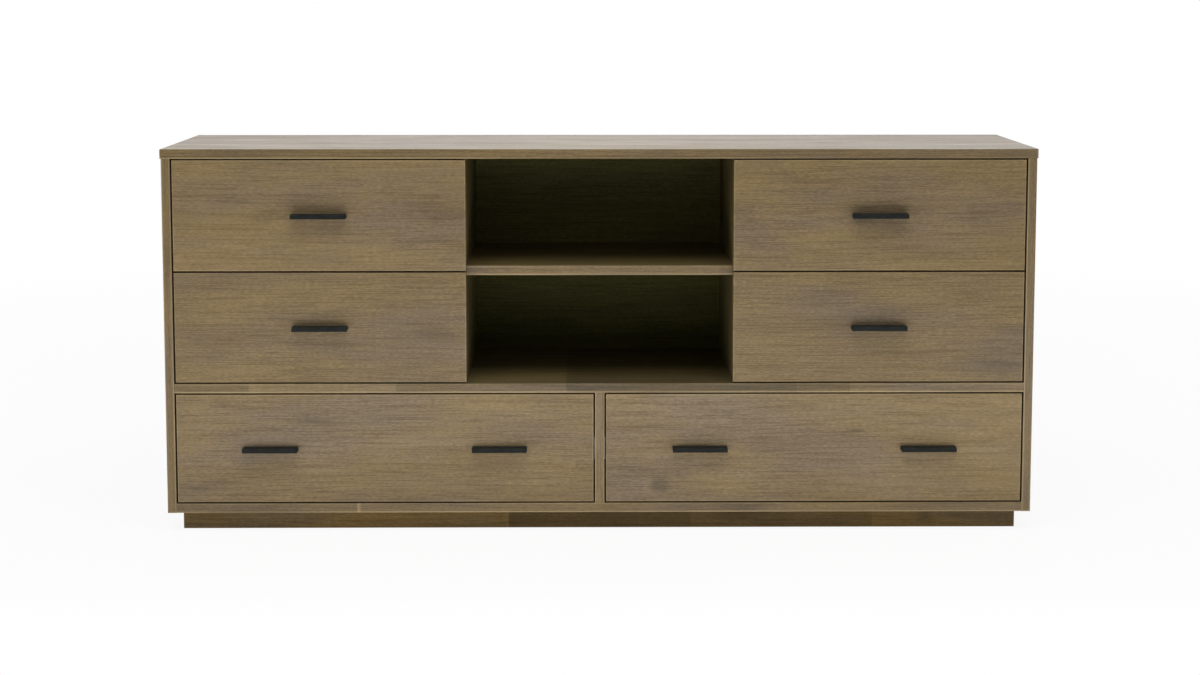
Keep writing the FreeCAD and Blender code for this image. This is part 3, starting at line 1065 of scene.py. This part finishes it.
class CHEST_OT_stage(bpy.types.Operator):
    """Sets the floor, the lamps, the world and the camera"""

    bl_idname = "chest.stage"
    bl_label = "Set the stage"

    def execute(self, context):
        self.floor()
        self.world(context.scene)
        for lamp in LAMPS:
            self.lamp(*lamp)
        self.camera(context.scene)
        return {"FINISHED"}

    @staticmethod
    def floor():
        """Pale floor that the camera sees as white, with soft shadows round the chest."""
        let_go()
        bpy.ops.mesh.primitive_circle_add(
            vertices=96, radius=FLOOR_RADIUS, fill_type="NGON", location=(0, 0, 0))
        floor = bpy.context.object
        floor.name = "floor"
        finish = new_finish("pale_floor")
        x, y, _ = finish.parts(finish.place())
        distance = finish.math("SQRT", x * x + y * y)
        away = finish.smooth(distance, FAR_START, FAR_END)
        in_front = finish.smooth(y, FRONT_START, FRONT_END)
        whiter = finish.math("MAXIMUM", away, in_front)
        level = finish.looked_at() * (FLOOR_WHITE + FLOOR_WHITER * whiter)
        shade = finish.node("ShaderNodeBsdfDiffuse", None, {"Color": opaque(colours().floor)})
        white = finish.node("ShaderNodeEmission", None, {"Color": (1, 1, 1, 1), "Strength": 1.0})
        mixed = finish.node("ShaderNodeMixShader", None, {0: level, 1: shade, 2: white})
        finish.node("ShaderNodeOutputMaterial", None, {"Surface": mixed})
        dress(floor, finish.block)

    @staticmethod
    def world(scene):
        """Weak even light that the camera sees as white."""
        scene.world = bpy.data.worlds.new("studio")
        sky = Finish(scene.world)
        level = WORLD_LIGHT + WORLD_SEEN * sky.looked_at()
        light = sky.node(
            "ShaderNodeBackground", None, {"Color": (1, 1, 1, 1), "Strength": level})
        sky.node("ShaderNodeOutputWorld", None, {"Surface": light})

    @staticmethod
    def lamp(name, place, target, wide, deep, power):
        """Soft oblong lamp that faces the target."""
        let_go()
        bpy.ops.object.light_add(type="AREA", location=place)
        lamp = bpy.context.object
        lamp.name = name + "_lamp"
        lamp.data.shape = "RECTANGLE"
        lamp.data.size = wide
        lamp.data.size_y = deep
        lamp.data.energy = power
        lamp.visible_camera = False
        aim = Vector(target) - Vector(place)
        lamp.rotation_euler = aim.to_track_quat("-Z", "Y").to_euler()

    @staticmethod
    def camera(scene):
        """Camera at the height and distance that the photograph's edges give."""
        let_go()
        turn = (math.radians(90 - CAMERA_PITCH), 0.0, math.radians(CAMERA_TURN))
        bpy.ops.object.camera_add(location=CAMERA_PLACE, rotation=turn)
        camera = bpy.context.object
        camera.data.sensor_width = SENSOR_WIDTH
        camera.data.lens = SENSOR_WIDTH * FOCAL_PIXELS / PHOTO_WIDTH
        camera.data.shift_y = CAMERA_SHIFT
        scene.camera = camera
        scene.view_settings.view_transform = "Standard"


class CHEST_PT_sidebar(bpy.types.Panel):
    """Lists the steps and the values of the chest"""

    bl_idname = "CHEST_PT_sidebar"
    bl_label = "Chest of drawers"
    bl_space_type = "VIEW_3D"
    bl_region_type = "UI"
    bl_category = "Chest of drawers"

    def draw(self, context):
        for step in STEPS:
            self.layout.operator(step.bl_idname)
        for values in (context.scene.chest_sizes, context.scene.chest_colours):
            for name in values.__annotations__:
                self.layout.prop(values, name)


STEPS = (
    CHEST_OT_boards, CHEST_OT_boxes, CHEST_OT_slides, CHEST_OT_pulls, CHEST_OT_screws,
    CHEST_OT_levers, CHEST_OT_stage)
CLASSES = (ChestSizes, ChestColours) + STEPS + (CHEST_PT_sidebar,)


def register():
    for kind in CLASSES:
        bpy.utils.register_class(kind)
    bpy.types.Scene.chest_sizes = bpy.props.PointerProperty(type=ChestSizes)
    bpy.types.Scene.chest_colours = bpy.props.PointerProperty(type=ChestColours)


def unregister():
    del bpy.types.Scene.chest_colours
    del bpy.types.Scene.chest_sizes
    for kind in reversed(CLASSES):
        bpy.utils.unregister_class(kind)


def main():
    register()
    bpy.ops.chest.boards()
    bpy.ops.chest.boxes()
    bpy.ops.chest.slides()
    bpy.ops.chest.pulls()
    bpy.ops.chest.screws()
    bpy.ops.chest.levers()
    bpy.ops.chest.stage()


if __name__ == "__main__":
    main()
